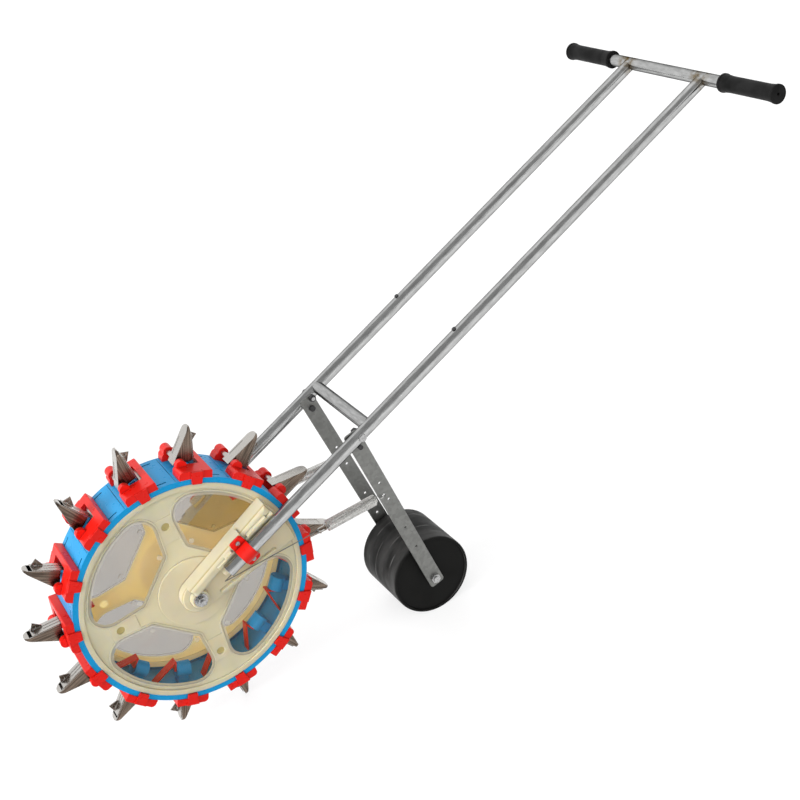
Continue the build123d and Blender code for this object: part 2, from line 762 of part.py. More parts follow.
# Rim segments. One unit stands at angle zero: x is outward, y is forward in the turn, z is to the near side.
segment_angle = beak_pitch - math.degrees(seam_gap / rim_radius)
segment_start = math.radians(seam_lead - segment_angle)
segment_plane = Plane(
    origin=(0, 0, 0),
    x_dir=(math.cos(segment_start), math.sin(segment_start), 0),
    z_dir=(math.sin(segment_start), -math.cos(segment_start), 0),
)
slot_angle = math.asin(slot_lag / rim_radius)
slot_outward = Vector(math.cos(slot_angle), -math.sin(slot_angle), 0)
slot_plane = Plane(origin=slot_outward * rim_radius, x_dir=(0, 0, 1), z_dir=slot_outward)
rim_inside = rim_radius - rim_wall
flange_foot = plate_radius + fit_clearance
with BuildPart() as rim_unit:
    with BuildSketch(segment_plane):
        with Locations(((rim_inside + rim_radius) / 2, 0)):
            Rectangle(rim_wall, 2 * rim_half_width)
        with Locations(((flange_foot + rim_inside) / 2, 0)):
            with GridLocations(0, 2 * rim_half_width - rim_flange, 1, 2):
                Rectangle(rim_inside - flange_foot, rim_flange)
    revolve(axis=Axis.Z, revolution_arc=segment_angle)
    # seed barrel on a neck, open at the back, with a chute out through the rim
    with BuildSketch(Plane.XZ):
        with Locations((barrel_reach, 0)):
            Circle(barrel_radius)
    extrude(amount=barrel_half, both=True)
    with BuildSketch(Plane.XY):
        with Locations(((barrel_reach + rim_inside) / 2, 0)):
            Rectangle(rim_inside - barrel_reach, neck_width)
    extrude(amount=neck_half, both=True)
    with BuildSketch(Plane.XZ.offset(barrel_half)):
        with Locations((barrel_reach, 0)):
            Circle(barrel_radius - barrel_wall)
    extrude(amount=barrel_wall - 2 * barrel_half, mode=Mode.SUBTRACT)
    with BuildSketch(Plane.XY):
        with Locations((barrel_reach, 0)):
            Rectangle(rim_radius - barrel_reach, chute_width, align=(Align.MIN, Align.CENTER))
    extrude(amount=chute_half, both=True, mode=Mode.SUBTRACT)
    # two short blind slots behind the seat
    with BuildSketch(slot_plane):
        with GridLocations(2 * slot_side, 0, 2, 1):
            Rectangle(slot_width, slot_length)
    extrude(amount=-slot_depth, mode=Mode.SUBTRACT)
    # half of a seam's groove along each end
    with BuildSketch(Plane.XY):
        with PolarLocations(rim_radius, 2, seam_lead - beak_pitch, beak_pitch, endpoint=True):
            Rectangle(2 * seam_depth, seam_width)
    extrude(amount=rim_half_width - rim_flange, both=True, mode=Mode.SUBTRACT)

with BuildPart(wheel) as rim_segments:
    with PolarLocations(0, beak_count, start_angle=beak_phase):
        add(rim_unit.part)
rim_segments.part.label = "rim_segments"
export_step(rim_segments.part, "parts/rim_segments.step")

# Red metering tongues over the open ends of the seed barrels, each with a cheek and a slide to the rim
tongue_face = -barrel_half - tongue_gap
with BuildPart() as tongue_unit:
    with BuildSketch(Plane.XY):
        with Locations((tongue_top, tongue_face)):
            Rectangle(tongue_cheek, tongue_thickness, align=(Align.MIN, Align.MAX))
        with Locations(Location((tongue_top, tongue_face, 0), (0, 0, -tongue_slope))):
            Rectangle(barrel_reach, tongue_thickness, align=(Align.MIN, Align.MAX))
        Circle(rim_inside, mode=Mode.INTERSECT)
    extrude(amount=tongue_half, both=True)

with BuildPart(wheel) as seed_tongues:
    with PolarLocations(0, beak_count, start_angle=beak_phase):
        add(tongue_unit.part)
seed_tongues.part.label = "seed_tongues"
export_step(seed_tongues.part, "parts/seed_tongues.step")

# Beak seats: a block on the rim, open to the front, with side tabs and two hinge bosses
tab_start = rim_half_width + body_gap
seat_opening = seat_opening_near + seat_opening_far
opening_side = Plane.XY.offset(-seat_opening_far)
pin_side = opening_side.offset(-pin_hold)
pin_length = seat_opening + 2 * pin_hold
with BuildPart() as seat_unit:
    with BuildSketch(Plane.XY):
        with Locations((seat_top, (seat_front + seat_back) / 2)):
            Rectangle(seat_top - rim_inside, seat_front - seat_back, align=(Align.MAX, Align.CENTER))
        Circle(rim_radius + fit_clearance, mode=Mode.SUBTRACT)
    extrude(amount=seat_half_width, both=True)
    top_edges = seat_unit.faces().sort_by(Axis.X)[-1].edges().filter_by(Axis.Z).sort_by(Axis.Y)
    fillet(top_edges[-1], seat_front_round)
    top_edges = seat_unit.faces().sort_by(Axis.X)[-1].edges().filter_by(Axis.Z).sort_by(Axis.Y)
    chamfer(top_edges[0], seat_chamfer)
    with BuildSketch(Plane.XY.offset(tab_start)):
        with BuildLine():
            Polyline(
                (tab_top, tab_front),
                (tab_top, tab_back),
                (tab_foot, tab_foot_back),
                (tab_foot, tab_foot_front),
                close=True,
            )
        make_face()
    extrude(amount=tab_thickness)
    mirror(about=Plane.XY)
    with BuildSketch(opening_side):
        with Locations((seat_top, seat_opening_back)):
            Rectangle(2 * seat_top, seat_top, align=(Align.CENTER, Align.MIN))
    extrude(amount=seat_opening, mode=Mode.SUBTRACT)
    with BuildSketch(Plane.XY.offset(-seat_half_width)):
        with Locations((pin_reach, pin_lead)):
            Circle(boss_radius)
    extrude(amount=seat_half_width + seat_opening_near + boss_width)
    with BuildSketch(opening_side):
        with Locations((pin_reach, pin_lead)):
            Circle(2 * boss_radius)
    extrude(amount=seat_opening, mode=Mode.SUBTRACT)
    with BuildSketch(pin_side.offset(-fit_clearance)):
        with Locations((pin_reach, pin_lead)):
            Circle(pin_radius + fit_clearance)
    extrude(amount=pin_length + 2 * fit_clearance, mode=Mode.SUBTRACT)

with BuildPart(wheel) as beak_seats:
    with PolarLocations(0, beak_count, start_angle=beak_phase):
        add(seat_unit.part)
beak_seats.part.label = "beak_seats"
export_step(beak_seats.part, "parts/beak_seats.step")

with BuildPart() as pin_unit:
    with BuildSketch(pin_side):
        with Locations((pin_reach, pin_lead)):
            Circle(pin_radius)
    extrude(amount=pin_length)

with BuildPart(wheel) as hinge_pins:
    with PolarLocations(0, beak_count, start_angle=beak_phase):
        add(pin_unit.part)
hinge_pins.part.label = "hinge_pins"
export_step(hinge_pins.part, "parts/hinge_pins.step")


# Beaks: a fixed rear strip and a moving front channel, meeting at the tip
def front_line(reach, inward=0.0):
    """How far ahead the channel's front face stands at a reach, or a face that far inside it."""
    return beak_apex_lead + (beak_apex - reach) * math.tan(front_slope) - inward / math.cos(front_slope)


def rear_line(reach, outward=0.0):
    """How far ahead the channel's rear edge stands at a reach, or a face that far behind it."""
    return beak_apex_lead - (beak_apex - reach) * math.tan(rear_slope) - outward / math.cos(rear_slope)


tip_floor = beak_apex - tip_solid
strip_front = fixed_gap
strip_back = fixed_gap + beak_wall
with BuildPart() as fixed_unit:
    with BuildSketch(Plane.XY):
        with BuildLine():
            Polyline(
                (foot_floor, rear_line(foot_floor, strip_front)),
                (fixed_reach, rear_line(fixed_reach, strip_front)),
                (fixed_reach, rear_line(fixed_reach, strip_back)),
                (foot_floor, rear_line(foot_floor, strip_back)),
                close=True,
            )
        make_face()
    extrude(amount=beak_half_width, both=True)
    # foot against the seat
    with BuildSketch(opening_side.offset(fit_clearance)):
        with Locations((foot_floor, seat_opening_back)):
            Rectangle(
                foot_top - foot_floor,
                rear_line(foot_floor, strip_front) - seat_opening_back,
                align=(Align.MIN, Align.MIN),
            )
    extrude(amount=seat_opening - 2 * fit_clearance)
    # flag behind the tip, with a round dimple
    with BuildSketch(Plane.XY.offset(-flag_side)):
        with BuildLine():
            Polyline(
                (fixed_reach, rear_line(fixed_reach, strip_front)),
                (flag_tip, flag_tip_lead),
                (flag_foot, flag_foot_lead),
                (flag_foot, rear_line(flag_foot, strip_front)),
                close=True,
            )
        make_face()
    extrude(amount=beak_wall)
    with BuildSketch(Plane.XY.offset(beak_wall - flag_side)):
        with Locations((dimple_reach, dimple_lead)):
            Circle(dimple_radius)
    extrude(amount=-dimple_depth, mode=Mode.SUBTRACT)
    # two stiffening ridges down the back
    for side in (-ridge_side, ridge_side):
        with BuildSketch(Plane.XY.offset(side)):
            with BuildLine():
                Polyline(
                    (foot_top, rear_line(foot_top, strip_front)),
                    (flag_foot, rear_line(flag_foot, strip_front)),
                    (flag_foot, rear_line(flag_foot, strip_back + ridge_height)),
                    (foot_top, rear_line(foot_top, strip_back + ridge_height)),
                    close=True,
                )
            make_face()
        extrude(amount=ridge_half, both=True)

with BuildPart(wheel) as fixed_beaks:
    with PolarLocations(0, beak_count, start_angle=beak_phase):
        add(fixed_unit.part)
fixed_beaks.part.label = "fixed_beaks"
export_step(fixed_beaks.part, "parts/fixed_beaks.step")

with BuildPart() as beak_unit:
    with BuildSketch(Plane.XY) as beak_side:
        with BuildLine():
            Polyline(
                (beak_base, beak_base_lead),
                (beak_apex, beak_apex_lead),
                (beak_heel, beak_heel_lead),
                close=True,
            )
        make_face()
        fillet(beak_side.vertices().sort_by(Axis.X)[-1], tip_round)
    extrude(amount=beak_half_width, both=True)
    # round nose
    with BuildSketch(Plane.XZ) as nose:
        with Locations((tip_centre_reach + tip_round, 0)):
            Rectangle(beak_apex - foot_floor, 2 * beak_half_width, align=(Align.MAX, Align.CENTER))
        fillet(nose.vertices().group_by(Axis.X)[-1], nose_round)
    extrude(amount=beak_apex - foot_floor, both=True, mode=Mode.INTERSECT)
    with BuildSketch(Plane.XY):
        with BuildLine():
            Polyline(
                (foot_floor, front_line(foot_floor, beak_wall)),
                (tip_floor, front_line(tip_floor, beak_wall)),
                (tip_floor, seat_opening_back),
                (foot_floor, seat_opening_back),
                close=True,
            )
        make_face()
    extrude(amount=beak_half_width - beak_wall, both=True, mode=Mode.SUBTRACT)
    # shallow groove down the front face
    with BuildSketch(Plane.XY):
        with BuildLine():
            Polyline(
                (groove_start, front_line(groove_start, -beak_wall)),
                (tip_floor - tip_solid, front_line(tip_floor - tip_solid, -beak_wall)),
                (tip_floor - tip_solid, front_line(tip_floor - tip_solid, groove_depth)),
                (groove_start, front_line(groove_start, groove_depth)),
                close=True,
            )
        make_face()
    extrude(amount=groove_half, both=True, mode=Mode.SUBTRACT)
    # hinge barrel
    with BuildSketch(opening_side.offset(2 * body_gap)):
        with Locations((pin_reach, pin_lead)):
            Circle(barrel_boss_radius)
    extrude(amount=seat_opening - 4 * body_gap)
    with BuildSketch(opening_side):
        with Locations((pin_reach, pin_lead)):
            Circle(pin_radius + running_clearance)
    extrude(amount=seat_opening, mode=Mode.SUBTRACT)

for index in range(beak_count):
    beak_name = f"beak_{index + 1:02d}"
    with BuildPart(wheel) as beak:
        with PolarLocations(0, 1, start_angle=beak_phase - index * beak_pitch):
            add(beak_unit.part)
    beak.part.label = beak_name
    export_step(beak.part, f"parts/{beak_name}.step")

# Roller hanger. Its side view has x up along the bars, from the roller's axle to the pivots.
roller_point = handle.from_local_coords(Vector(roller_reach, -roller_drop, 0))
pivot_point = handle.from_local_coords(Vector(pivot_reach, tube_lift, 0))
hanger_span = (pivot_point - roller_point).length
hanger_tilt = math.asin(bar_pivot_inset / hanger_span)
to_pivot = (pivot_point - roller_point).normalized()
hanger = Plane(
    origin=roller_point,
    x_dir=to_pivot.rotate(Axis.Y, -math.degrees(hanger_tilt)),
    z_dir=(0, -1, 0),
)
pivot_local = hanger.to_local_coords(pivot_point)
bar_profile = Plane(origin=roller_point, x_dir=hanger.x_dir, z_dir=-hanger.y_dir)
bar_half_thickness = bar_thickness / 2
lean_end = pivot_local.X - bar_flat
lean = (bar_spread - bar_pinch) / (lean_end - bar_flat)


def bar_side(along):
    """How far out the near bar's mid plane stands, along its length from the roller."""
    return bar_pinch + lean * min(max(along - bar_flat, 0), lean_end - bar_flat)


hook_along = pivot_local.X - hook_hole_reach
stop_place = hanger.to_local_coords(handle.from_local_coords(Vector(pivot_reach - stop_back, stop_lift, 0)))
with BuildPart() as roller_arm_near:
    with BuildSketch(bar_profile):
        with BuildLine():
            Polyline(
                (-bar_foot, bar_pinch - bar_half_thickness),
                (bar_flat, bar_pinch - bar_half_thickness),
                (lean_end, bar_spread - bar_half_thickness),
                (pivot_local.X + bar_top, bar_spread - bar_half_thickness),
                (pivot_local.X + bar_top, bar_spread + bar_half_thickness),
                (lean_end, bar_spread + bar_half_thickness),
                (bar_flat, bar_pinch + bar_half_thickness),
                (-bar_foot, bar_pinch + bar_half_thickness),
                close=True,
            )
        make_face()
    extrude(amount=bar_width / 2, both=True)
    bar_ends = roller_arm_near.faces().filter_by(Axis((0, 0, 0), hanger.x_dir)).edges().filter_by(Axis.Y)
    fillet(bar_ends, bar_round)
    with BuildSketch(hanger):
        with Locations((0, 0)):
            Circle(roller_axle_radius + fit_clearance)
        with Locations((pivot_local.X, pivot_local.Y)):
            Circle(pivot_radius + running_clearance)
        with Locations((stop_place.X, stop_place.Y)):
            Circle(stop_radius + fit_clearance)
        with Locations((hook_along, hook_hole_lead)):
            Circle(hook_hole_radius)
        with Locations(*[(pivot_local.X - reach, 0) for reach in spare_holes]):
            Circle(spare_hole_radius)
    extrude(amount=2 * bar_spread, mode=Mode.SUBTRACT)
roller_arm_near.part.label = "roller_arm_near"
export_step(roller_arm_near.part, "parts/roller_arm_near.step")

with BuildPart() as roller_arm_far:
    mirror(roller_arm_near.part, about=Plane.XZ)
roller_arm_far.part.label = "roller_arm_far"
export_step(roller_arm_far.part, "parts/roller_arm_far.step")

# Pivot bolts through the tubes, with their nuts on the inner side
bar_inner_face = bar_spread - bar_half_thickness
pivot_nut_face = bar_inner_face - body_gap
tube_outside = tube_side + tube_radius
with BuildPart() as pivot_bolts:
    with BuildSketch(handle.offset(tube_outside)):
        with Locations((pivot_reach, tube_lift)):
            Circle(pivot_head_radius)
    extrude(amount=pivot_head_height)
    fillet(pivot_bolts.faces().sort_by(Axis.Y)[0].edges(), pivot_head_height - tube_wall)
    with BuildSketch(handle.offset(tube_outside)):
        with Locations((pivot_reach, tube_lift)):
            Circle(pivot_radius)
    extrude(amount=-(tube_outside - pivot_nut_face + pivot_nut_height + pivot_tip))
    mirror(about=Plane.XZ)
pivot_bolts.part.label = "pivot_bolts"
export_step(pivot_bolts.part, "parts/pivot_bolts.step")

with BuildPart() as pivot_nuts:
    with BuildSketch(handle.offset(pivot_nut_face)):
        with Locations((pivot_reach, tube_lift)):
            RegularPolygon(pivot_nut_across / 2, 6, major_radius=False)
            Circle(pivot_radius + fit_clearance, mode=Mode.SUBTRACT)
    extrude(amount=-pivot_nut_height)
    mirror(about=Plane.XZ)
pivot_nuts.part.label = "pivot_nuts"
export_step(pivot_nuts.part, "parts/pivot_nuts.step")

# Stop bolts on the bars, which rest under the tubes
with BuildPart() as stop_bolts:
    with BuildSketch(hanger.offset(bar_inner_face)):
        with Locations((stop_place.X, stop_place.Y)):
            Circle(stop_head_radius)
    extrude(amount=-stop_head_height)
    with BuildSketch(hanger.offset(bar_inner_face)):
        with Locations((stop_place.X, stop_place.Y)):
            Circle(stop_radius)
    extrude(amount=stop_outer - bar_inner_face)
    mirror(about=Plane.XZ)
stop_bolts.part.label = "stop_bolts"
export_step(stop_bolts.part, "parts/stop_bolts.step")

# Roller with its end discs, on an axle held between the bars
end_disc_face = roller_half - end_disc_recess
collar_start = end_disc_face + body_gap
bar_foot_face = bar_pinch + bar_half_thickness
roller_axle_half = bar_foot_face + roller_nut_height + roller_axle_tip
with BuildPart() as roller_axle:
    with BuildSketch(hanger):
        Circle(roller_axle_radius)
    extrude(amount=roller_axle_half, both=True)
    with BuildSketch(hanger.offset(collar_start)):
        Circle(collar_radius)
    extrude(amount=bar_foot_face - bar_thickness - collar_start)
    with BuildSketch(hanger.offset(-collar_start)):
        Circle(collar_radius)
    extrude(amount=-(bar_foot_face - bar_thickness - collar_start))
roller_axle.part.label = "roller_axle"
export_step(roller_axle.part, "parts/roller_axle.step")

with BuildPart() as roller_axle_nuts:
    with BuildSketch(hanger.offset(bar_foot_face)):
        RegularPolygon(roller_nut_across / 2, 6, major_radius=False)
        Circle(roller_axle_radius + fit_clearance, mode=Mode.SUBTRACT)
    extrude(amount=roller_nut_height)
    mirror(about=Plane.XZ)
roller_axle_nuts.part.label = "roller_axle_nuts"
export_step(roller_axle_nuts.part, "parts/roller_axle_nuts.step")

with BuildPart() as roller_shell:
    with BuildSketch(hanger):
        Circle(roller_radius)
    extrude(amount=roller_half, both=True)
    fillet(roller_shell.edges().filter_by(GeomType.CIRCLE), roller_edge_round)
    with BuildSketch(hanger):
        Circle(roller_radius - roller_wall)
    extrude(amount=roller_half, both=True, mode=Mode.SUBTRACT)
roller_shell.part.label = "roller_shell"
export_step(roller_shell.part, "parts/roller_shell.step")

with BuildPart() as roller_end_near:
    with BuildSketch(hanger.offset(end_disc_face)):
        Circle(roller_radius - roller_wall)
        Circle(roller_axle_radius + running_clearance, mode=Mode.SUBTRACT)
    extrude(amount=-end_disc_thickness)
roller_end_near.part.label = "roller_end_near"
export_step(roller_end_near.part, "parts/roller_end_near.step")

with BuildPart() as roller_end_far:
    mirror(roller_end_near.part, about=Plane.XZ)
roller_end_far.part.label = "roller_end_far"
export_step(roller_end_far.part, "parts/roller_end_far.step")

# Tension springs and the tie wires that hold them to the tube ends
hook_height = hook_rise + hook_leg + hook_radius
coil_length = spring_turns * spring_pitch
hook_point = hanger.from_local_coords(Vector(hook_along, hook_hole_lead, bar_side(hook_along)))
tie_lift = tube_lift - tube_radius + tube_wall + tie_wire + tie_gap
tie_corner = handle.from_local_coords(Vector(tie_corner_reach, tie_lift, tube_side))
pull = (hook_point - tie_corner).normalized()
ring_point = hook_point - pull * (coil_length + 2 * hook_height)
across_pull = (handle.z_dir - pull * handle.z_dir.dot(pull)).normalized()
coil = Plane(origin=ring_point + pull * hook_height, x_dir=across_pull, z_dir=pull)


def bent_wire(stations):
    """Straight runs and pairs of tangent arcs through (point, direction) stations."""
    for (start, way), (end, end_way) in zip(stations, stations[1:]):
        chord = end - start
        if chord.normalized().dot(way) > straight_enough and way.dot(end_way) > straight_enough:
            Line(start, end)
            continue
        turn = 2 * (1 - way.dot(end_way))
        along = chord.dot(way + end_way)
        reach = chord.dot(chord) / (along + math.sqrt(along**2 + turn * chord.dot(chord)))
        first_corner = start + way * reach
        last_corner = end - end_way * reach
        middle = (first_corner + last_corner) / 2
        TangentArc(start, middle, tangent=way)
        TangentArc(middle, end, tangent=last_corner - first_corner)


def least_gap(wire, wire_radius):
    """The least clear space between one stretch of a wire and another, on points along it."""
    points = []
    travelled = 0.0
    for edge in wire.edges():
        for step in range(gap_steps):
            share = step / gap_steps
            points.append((travelled + edge.length * share, edge.position_at(share)))
        travelled += edge.length
    apart = 12 * wire_radius
    nearest = min(
        (here - there).length
        for i, (run, here) in enumerate(points)
        for other_run, there in points[i + 1:]
        if other_run - run > apart
    )
    return nearest - 2 * wire_radius


def in_coil(x, y, z):
    """A point given in the coil's own axes: x to the near side, z along the pull."""
    return coil.from_local_coords(Vector(x, y, z))


def coil_way(x, y, z):
    """A unit direction given in the coil's own axes."""
    return (coil.x_dir * x + coil.y_dir * y + coil.z_dir * z).normalized()


# Each end of a spring turns inward, bends up and makes an open hook. The flip makes the end at the ring.
def hook_stations(flip):
    """Stations of one hook, from the coil outward."""
    side = -1 if flip else 1
    base = 0 if flip else coil_length
    leg_end = hook_rise + hook_leg
    places = (
        ((0, (spring_radius + hook_radius) / 2, inward_rise), (-1, 0, inward_rise / spring_radius)),
        ((-hook_radius, hook_bend, hook_rise - hook_bend), (0, -1, 0)),
        ((-hook_radius, 0, hook_rise), (0, 0, 1)),
        ((-hook_radius, 0, leg_end), (0, 0, 1)),
        ((0, 0, leg_end + hook_radius), (1, 0, 0)),
        ((hook_radius, 0, leg_end), (0, 0, -1)),
        ((hook_radius, 0, leg_end - hook_tail), (0, 0, -1)),
    )
    return [
        (in_coil(x, side * y, base + side * z), coil_way(dx, side * dy, side * dz))
        for (x, y, z), (dx, dy, dz) in places
    ]


coil_climb = spring_pitch / (2 * math.pi * spring_radius)
coil_stations = []
for half_turn in range(2 * spring_turns + 1):
    outward = 1 if half_turn % 2 == 0 else -1
    place = in_coil(outward * spring_radius, 0, half_turn * spring_pitch / 2)
    coil_stations.append((place, coil_way(0, outward, coil_climb)))
ring_hook = [(place, -way) for place, way in reversed(hook_stations(True))]
spring_stations = ring_hook + coil_stations + hook_stations(False)

with BuildPart() as spring_near:
    with BuildLine() as spring_path:
        bent_wire(spring_stations)
    with BuildSketch(Plane(origin=spring_stations[0][0], z_dir=spring_stations[0][1])):
        Circle(spring_wire)
    sweep(path=spring_path.wires()[0])
spring_near.part.label = "spring_near"
export_step(spring_near.part, "parts/spring_near.step")
print(f"spring: {spring_turns} turns, least gap {least_gap(spring_path.wires()[0], spring_wire):.2f} mm")

with BuildPart() as spring_far:
    mirror(spring_near.part, about=Plane.XZ)
spring_far.part.label = "spring_far"
export_step(spring_far.part, "parts/spring_far.step")

# A tie wire lies in the tube's mouth, turns back under the lip and ends in an eye round the spring's hook
ring_height = -hook_height
eye_height = ring_height + spring_wire + tie_wire + tie_gap - tie_eye
tie_turn = math.acos(-handle.x_dir.dot(pull))
tie_run = tie_bend * math.tan((math.pi - tie_turn) / 2)
tie_stations = [
    (tie_corner + handle.x_dir * (tube_start + tie_tail - tie_corner_reach), -handle.x_dir),
    (tie_corner + handle.x_dir * tie_run, -handle.x_dir),
    (tie_corner + pull * tie_run, pull),
    (in_coil(0, 0, eye_height - eye_lead), pull),
    (in_coil(0, -tie_eye, eye_height), pull),
    (in_coil(0, 0, eye_height + tie_eye), coil_way(0, 1, 0)),
    (in_coil(0, tie_eye, eye_height), -pull),
    (in_coil(0, tie_eye, eye_height - tie_eye), -pull),
]
with BuildPart() as tie_wire_near:
    with BuildLine() as tie_path:
        bent_wire(tie_stations)
    with BuildSketch(Plane(origin=tie_stations[0][0], z_dir=tie_stations[0][1])):
        Circle(tie_wire)
    sweep(path=tie_path.wires()[0])
tie_wire_near.part.label = "tie_wire_near"
export_step(tie_wire_near.part, "parts/tie_wire_near.step")

with BuildPart() as tie_wire_far:
    mirror(tie_wire_near.part, about=Plane.XZ)
tie_wire_far.part.label = "tie_wire_far"
export_step(tie_wire_far.part, "parts/tie_wire_far.step")
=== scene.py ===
import json
import math

import bpy
from mathutils import Matrix, Vector


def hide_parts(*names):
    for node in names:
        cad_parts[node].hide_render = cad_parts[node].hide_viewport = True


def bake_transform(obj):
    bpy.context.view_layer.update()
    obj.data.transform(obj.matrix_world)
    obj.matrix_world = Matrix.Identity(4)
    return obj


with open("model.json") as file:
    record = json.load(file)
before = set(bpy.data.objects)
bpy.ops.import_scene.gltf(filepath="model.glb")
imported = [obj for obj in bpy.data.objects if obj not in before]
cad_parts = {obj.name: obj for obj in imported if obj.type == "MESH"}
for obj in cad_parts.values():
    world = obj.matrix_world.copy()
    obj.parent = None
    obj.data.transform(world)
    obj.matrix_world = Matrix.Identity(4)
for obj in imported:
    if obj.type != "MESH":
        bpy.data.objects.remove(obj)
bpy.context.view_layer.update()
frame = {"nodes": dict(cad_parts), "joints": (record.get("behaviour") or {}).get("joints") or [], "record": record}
nodes = frame["nodes"]
joints = {joint["name"]: joint for joint in frame["joints"]}
AXLE = Vector(joints["drum_spin"]["pos_m"])
PIVOT = Vector(joints["roller_hanger_swing"]["pos_m"])

# Sizes repeated from the solids, in metres
PIVOT_REACH = 0.421
TUBE_LIFT = 0.014
TUBE_SIDE = 0.1164
HANDLE_REACH = 1.382
SPRING_TURNS = 46
SPRING_RADIUS = 0.0106
SPRING_WIRE = 0.0009
SPRING_HOOK = 0.0065
HOOK_HEIGHT = 0.0207
HOOK_RISE = 0.0052
HOOK_TAIL = 0.004
WEB_FACE = 0.056
RECESS_FLOOR = 0.053
BEAD_FOOT = WEB_FACE + 0.0004
BEAD_TOP = WEB_FACE + 0.0013
PLATE_INSIDE = 0.04
ARM_INSIDE = 0.066
RING_POINT = Vector((-0.239107, -0.103884, 0.331680))
HOOK_POINT = Vector((-0.089942, -0.094618, 0.327914))

# Where the handle points, and the weld on its far side
pivot_arm = PIVOT - AXLE
HANDLE_SLOPE = math.atan2(pivot_arm.z, pivot_arm.x) - math.atan2(TUBE_LIFT, PIVOT_REACH)
HANDLE_TURN = (0, HANDLE_SLOPE, 0)
HANDLE_ALONG = Vector((math.cos(HANDLE_SLOPE), 0, math.sin(HANDLE_SLOPE)))
HANDLE_UP = Vector((-math.sin(HANDLE_SLOPE), 0, math.cos(HANDLE_SLOPE)))
WELD = AXLE + HANDLE_REACH * HANDLE_ALONG + TUBE_LIFT * HANDLE_UP + Vector((0, TUBE_SIDE, 0))

# The photograph's camera
PHOTO_SIZE = 800
FOCAL_PIXELS = 1369.8
AXLE_PIXEL = (183.8, 577.4)
AXLE_DEPTH = 2.6119
PHOTO_AZIMUTH = math.radians(27.742)
PHOTO_ELEVATION = math.radians(21.747)
PHOTO_HANDLE_SLOPE = math.radians(38.824)
SENSOR_WIDTH = 36.0

# Studio light: each lamp's name, strength, spread in degrees and where it comes from
LAMPS = (
    ("key", 2.8, 30, Vector((-0.93, -0.10, 0.36))),
    ("fill", 2.0, 70, Vector((-0.35, -0.85, 0.40))),
    ("back", 3.0, 70, Vector((0.1, 0.95, 0.30))),
    ("glint", 4.5, 10, Vector((-0.05, -0.97, -0.1))),
)
SKY_LIGHT = 0.42
CARD_FROM = Vector((-0.41, -0.45, 0.79))
CARD_DISTANCE = 8.0
CARD_CORNERS = ((-9, -5), (9, -5), (9, 6), (-9, 6))
CARD_TONE = 0.38
FLOOR_HALF = 30.0
FLOOR_TONE = 0.3
FLOOR_LIFT = 0.72

# Colours of the finishes
TUBE = (0.52, 0.523, 0.52)
TUBE_EDGE = (0.08, 0.08, 0.08)
WELD_STAIN = (0.22, 0.17, 0.1)
CREAM = (0.67, 0.615, 0.445)
CREAM_RECESS_SHADE = (0.42, 0.35, 0.17)
CREAM_PAINTED_GLOW = (0.85, 0.57, 0.19)
RED = (0.76, 0.011, 0.006)
BLUE = (0.004, 0.30, 0.64)
FILM_THIN = (0.15, 0.1, 0.03)
FILM_THICK = (0.25, 0.18, 0.08)
BEAD_SHEEN = (0.6, 0.565, 0.48)
ZINC = (0.48, 0.48, 0.48)
WIRE = (0.2, 0.2, 0.196)
SPRING = (0.74, 0.735, 0.71)
BLACKENED = (0.06, 0.06, 0.061)
BEAK_WALL = (0.15, 0.115, 0.09)
BEAK_RIDGE_HIGHLIGHT = (0.55, 0.53, 0.5)
BEAK_EDGE_HIGHLIGHT = (0.7, 0.68, 0.65)
BAR = (0.215, 0.217, 0.207)
GRIP = (0.007, 0.007, 0.007)
ROLLER = (0.009, 0.009, 0.0085)
ROLLER_DUST = (0.075, 0.074, 0.072)
ROLLER_SCUFF = (0.1, 0.099, 0.097)
BLACK = (0, 0, 0)
WHITE = (1, 1, 1)

# Other values of the finishes
PLASTIC_GLOSS = 0.22
RUBBER_GLOSS = 0.07
INNER_PAINTED_GLOW = 0.62
NEAR_FILM = 0.09
FAR_FILM = 0.36
BEAD_FILM = 0.42
RING_PITCH = 11.0
STAIN_REACH = 0.034
STAIN_HEART = 0.015


def make_camera():
    """The photograph shows the planter tipped up on its roller, so its view turns with the handle."""
    tip = Matrix.Rotation(PHOTO_HANDLE_SLOPE - HANDLE_SLOPE, 3, "Y")
    forward = Vector((
        math.sin(PHOTO_AZIMUTH) * math.cos(PHOTO_ELEVATION),
        math.cos(PHOTO_AZIMUTH) * math.cos(PHOTO_ELEVATION),
        -math.sin(PHOTO_ELEVATION),
    ))
    right = forward.cross(Vector((0, 0, 1))).normalized()
    down = forward.cross(right)
    forward, right, down = tip @ forward, tip @ right, tip @ down
    across = (AXLE_PIXEL[0] - PHOTO_SIZE / 2) / FOCAL_PIXELS * AXLE_DEPTH
    below = (AXLE_PIXEL[1] - PHOTO_SIZE / 2) / FOCAL_PIXELS * AXLE_DEPTH
    place = AXLE - forward * AXLE_DEPTH - right * across - down * below
    data = bpy.data.cameras.new("photo_camera")
    data.sensor_width = SENSOR_WIDTH
    data.lens = FOCAL_PIXELS / PHOTO_SIZE * SENSOR_WIDTH
    camera = bpy.data.objects.new("photo_camera", data)
    turn = Matrix((right, -down, -forward)).transposed()
    camera.matrix_world = Matrix.Translation(place) @ turn.to_4x4()
    bpy.context.scene.collection.objects.link(camera)
    bpy.context.scene.camera = camera


